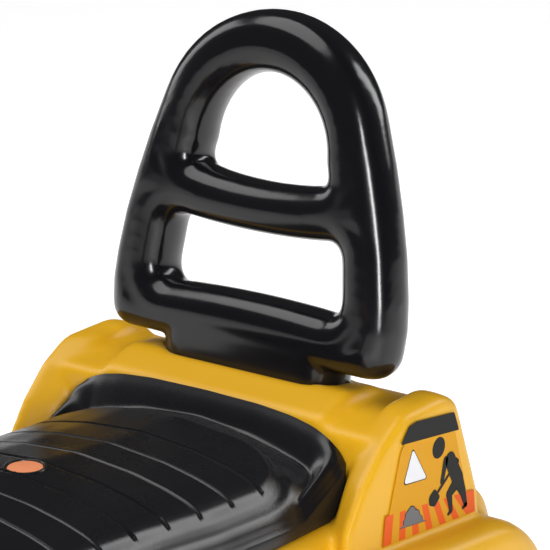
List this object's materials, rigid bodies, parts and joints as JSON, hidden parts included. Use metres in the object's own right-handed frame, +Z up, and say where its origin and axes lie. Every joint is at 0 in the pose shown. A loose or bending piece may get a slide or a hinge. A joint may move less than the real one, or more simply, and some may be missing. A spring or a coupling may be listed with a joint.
{
  "type": "ride-on digger",
  "caption": "Child's ride-on digger: moulded body on free-rolling wheels, saddle, hoop backrest, slewing turret with a hand-worked boom and toothed bucket.",
  "frame": {"origin": "on the ground under the middle of the object's box", "axes": "+Z up, the digger's front and bucket towards -Y, the rider's left towards +X"},
  "size_m": [0.3, 0.8772, 0.4535],
  "materials": {
    "body_yellow": "satin-gloss moulded",
    "hub_yellow": "gloss moulded",
    "gloss_black": "high gloss moulded",
    "satin_black": "satin moulded",
    "grip_black": "ribbed soft matt",
    "wheel_black": "matt moulded",
    "cap_orange": "satin",
    "printed_film": "printed vinyl",
    "zinc_steel": "zinc plated"
  },
  "bodies": {
    "body": {"body_shell": "body_yellow", "underbody_pan": "satin_black", "seat": "gloss_black", "seat_bolt_cap": "cap_orange", "seat_bolt": "zinc_steel", "seat_bolt_nut": "zinc_steel", "backrest": "gloss_black", "backrest_screw_left": "zinc_steel", "backrest_screw_right": "zinc_steel", "pan_screw_front_left": "zinc_steel", "pan_screw_front_right": "zinc_steel", "pan_screw_rear_left": "zinc_steel", "pan_screw_rear_right": "zinc_steel", "sticker_left": "printed_film", "sticker_right": "printed_film", "rear_axle": "zinc_steel", "front_axle": "zinc_steel", "rear_left_push_nut": "zinc_steel", "rear_right_push_nut": "zinc_steel", "front_left_push_nut": "zinc_steel", "front_right_push_nut": "zinc_steel"},
    "rear_left_wheel": {"rear_left_wheel": "wheel_black", "rear_left_hub_cap": "hub_yellow"},
    "rear_right_wheel": {"rear_right_wheel": "wheel_black", "rear_right_hub_cap": "hub_yellow"},
    "front_left_wheel": {"front_left_wheel": "wheel_black", "front_left_hub_cap": "hub_yellow"},
    "front_right_wheel": {"front_right_wheel": "wheel_black", "front_right_hub_cap": "hub_yellow"},
    "turret": {"turret": "satin_black", "slew_washer": "satin_black", "slew_bolt": "zinc_steel", "arm_pin": "zinc_steel", "arm_pin_cap": "satin_black", "arm_spacer_left": "satin_black", "arm_spacer_right": "satin_black"},
    "boom": {"boom": "body_yellow", "boom_lever": "satin_black", "boom_grip": "grip_black", "boom_lever_screw_front": "zinc_steel", "boom_lever_screw_rear": "zinc_steel"},
    "bucket_lever": {"bucket_lever": "satin_black", "bucket_grip": "grip_black", "lever_link_pin": "zinc_steel"},
    "link_rod": {"link_rod": "zinc_steel"},
    "bucket": {"bucket": "satin_black", "bucket_pin": "zinc_steel", "bucket_pin_cap": "satin_black", "bucket_link_pin": "zinc_steel"}
  },
  "joints": [
    {"name": "rear_left_wheel_spin", "type": "hinge", "parent": "body", "child": "rear_left_wheel", "pos_m": [0.122, 0.32259, 0.072], "axis": [1, 0, 0], "continuous": true},
    {"name": "rear_right_wheel_spin", "type": "hinge", "parent": "body", "child": "rear_right_wheel", "pos_m": [-0.122, 0.32259, 0.072], "axis": [1, 0, 0], "continuous": true},
    {"name": "front_left_wheel_spin", "type": "hinge", "parent": "body", "child": "front_left_wheel", "pos_m": [0.119, -0.10741, 0.06], "axis": [1, 0, 0], "continuous": true},
    {"name": "front_right_wheel_spin", "type": "hinge", "parent": "body", "child": "front_right_wheel", "pos_m": [-0.119, -0.10741, 0.06], "axis": [1, 0, 0], "continuous": true},
    {"name": "turret_slew", "type": "hinge", "parent": "body", "child": "turret", "pos_m": [0, -0.12941, 0.2083], "axis": [0, 0, 1], "range_deg": [-35, 35]},
    {"name": "boom_lift", "type": "hinge", "parent": "turret", "child": "boom", "pos_m": [0, -0.13941, 0.268], "axis": [-1, 0, 0], "range_deg": [0, 30]},
    {"name": "bucket_lever_swing", "type": "hinge", "parent": "boom", "child": "bucket_lever", "pos_m": [0, -0.13941, 0.268], "axis": [-1, 0, 0], "range_deg": [-30, 15]},
    {"name": "link_rod_pivot", "type": "hinge", "parent": "bucket_lever", "child": "link_rod", "pos_m": [0.0265, -0.15605, 0.30216], "axis": [-1, 0, 0], "range_deg": [-15, 30]},
    {"name": "bucket_curl", "type": "hinge", "parent": "boom", "child": "bucket", "pos_m": [0, -0.37741, 0.152], "axis": [-1, 0, 0], "range_deg": [-30, 15]}
  ],
  "couplings": [
    {"joint": "bucket_curl", "follows": "bucket_lever_swing", "ratio": 1},
    {"joint": "link_rod_pivot", "follows": "bucket_lever_swing", "ratio": -1}
  ]
}
